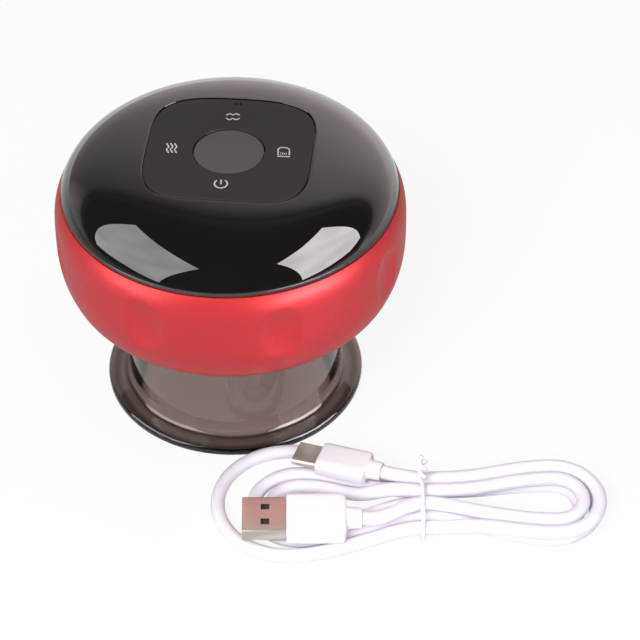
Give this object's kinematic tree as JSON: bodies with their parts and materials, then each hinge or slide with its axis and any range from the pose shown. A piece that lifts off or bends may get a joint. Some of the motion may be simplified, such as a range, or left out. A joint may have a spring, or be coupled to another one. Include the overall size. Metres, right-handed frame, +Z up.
{
  "type": "electric cupping massager",
  "caption": "Round motor head with a gloss dome, touch-key panel and dimpled grip ring, standing on a clear flanged suction cup, with its tied charging cable beside it",
  "frame": {"origin": "centre of the suction cup's mouth, on the surface that the cup stands on", "axes": "+Z up along the cup's axis, -Y to the power key, +Y to the charging socket"},
  "size_m": [0.1606, 0.129, 0.0824],
  "materials": {
    "smoke_cup": "clear, tinted brown-grey, polished",
    "black_gloss": "polished black",
    "panel_grey": "satin dark grey",
    "window_grey": "smoked window",
    "red_paint": "satin metallic red",
    "black_plastic": "fine matt",
    "white_plastic": "smooth satin white",
    "plated_steel": "bright nickel",
    "steel": "zinc plated",
    "aluminium": "satin",
    "copper": "enamelled copper winding on steel",
    "magnet": "dark ferrite",
    "circuit_board": "green solder mask",
    "silicone": "soft silicone",
    "dark_rubber": "soft moulded rubber",
    "cell_wrap": "shrink wrap over a steel can",
    "red_lens": "deep red lens",
    "foam": "open foam",
    "nylon": "moulded nylon",
    "cable_jacket": "smooth white jacket"
  },
  "bodies": {
    "cup": {"suction_cup": "smoke_cup", "charge_cable": "cable_jacket", "cable_tie": "white_plastic", "usb_a_shell": "plated_steel", "usb_a_tongue": "white_plastic", "usb_a_overmould": "white_plastic", "usb_c_shell": "plated_steel", "usb_c_overmould": "white_plastic"},
    "head": {"cup_seal": "silicone", "grip_ring": "red_paint", "base_cover": "black_plastic", "top_cover": "black_gloss", "key_panel": "panel_grey", "display_window": "window_grey", "display_module": "black_plastic", "light_pipe": "nylon", "key_board": "circuit_board", "lamp_board": "circuit_board", "lens_ring": "red_lens", "heat_plate": "aluminium", "suction_filter": "foam", "battery_cell": "cell_wrap", "charge_board": "circuit_board", "charge_socket": "plated_steel", "motor_can": "steel", "motor_end_cap": "nylon", "motor_magnet_front": "magnet", "motor_magnet_back": "magnet", "crank_case": "nylon", "diaphragm": "dark_rubber", "valve_plate": "steel", "pump_head": "nylon", "pump_clamp": "steel", "clamp_screw_front": "steel", "clamp_screw_back": "steel", "suction_tube": "silicone", "valve_body": "nylon", "valve_coil": "copper", "valve_yoke": "steel", "valve_spring": "steel", "base_screw_1": "steel", "base_screw_2": "steel", "base_screw_3": "steel", "base_screw_4": "steel", "board_screw_1": "steel", "board_screw_2": "steel", "board_screw_3": "steel", "power_switch": "black_plastic", "heat_switch": "black_plastic", "mode_switch": "black_plastic", "suction_switch": "black_plastic"},
    "rotor": {"motor_rotor": "copper", "eccentric": "steel"},
    "rod": {"connecting_rod": "nylon"},
    "release_plunger": {"valve_plunger": "steel"},
    "power_key": {"power_key_plunger": "nylon"},
    "heat_key": {"heat_key_plunger": "nylon"},
    "mode_key": {"mode_key_plunger": "nylon"},
    "suction_key": {"suction_key_plunger": "nylon"}
  },
  "joints": [
    {"name": "cup_pull_off", "type": "slide", "parent": "cup", "child": "head", "axis": [0, 0, 1], "range_m": [0, 0.015]},
    {"name": "power_press", "type": "slide", "parent": "head", "child": "power_key", "axis": [0, 0, -1], "range_m": [0, 0.0003], "stiffness_N_per_m": 800},
    {"name": "heat_press", "type": "slide", "parent": "head", "child": "heat_key", "axis": [0, 0, -1], "range_m": [0, 0.0003], "stiffness_N_per_m": 800},
    {"name": "mode_press", "type": "slide", "parent": "head", "child": "mode_key", "axis": [0, 0, -1], "range_m": [0, 0.0003], "stiffness_N_per_m": 800},
    {"name": "suction_press", "type": "slide", "parent": "head", "child": "suction_key", "axis": [0, 0, -1], "range_m": [0, 0.0003], "stiffness_N_per_m": 800},
    {"name": "rotor_spin", "type": "hinge", "parent": "head", "child": "rotor", "pos_m": [0, -0.016, 0.0595], "axis": [1, 0, 0], "continuous": true},
    {"name": "rod_on_eccentric", "type": "hinge", "parent": "rotor", "child": "rod", "pos_m": [0.0049, -0.0147, 0.0595], "axis": [1, 0, 0], "continuous": true},
    {"name": "release_open", "type": "slide", "parent": "head", "child": "release_plunger", "axis": [0, 0, 1], "range_m": [0, 0.0008], "stiffness_N_per_m": 500, "deforming": ["valve_spring"]}
  ],
  "couplings": [
    {"joint": "rod_on_eccentric", "follows": "rotor_spin", "ratio": -1}
  ]
}
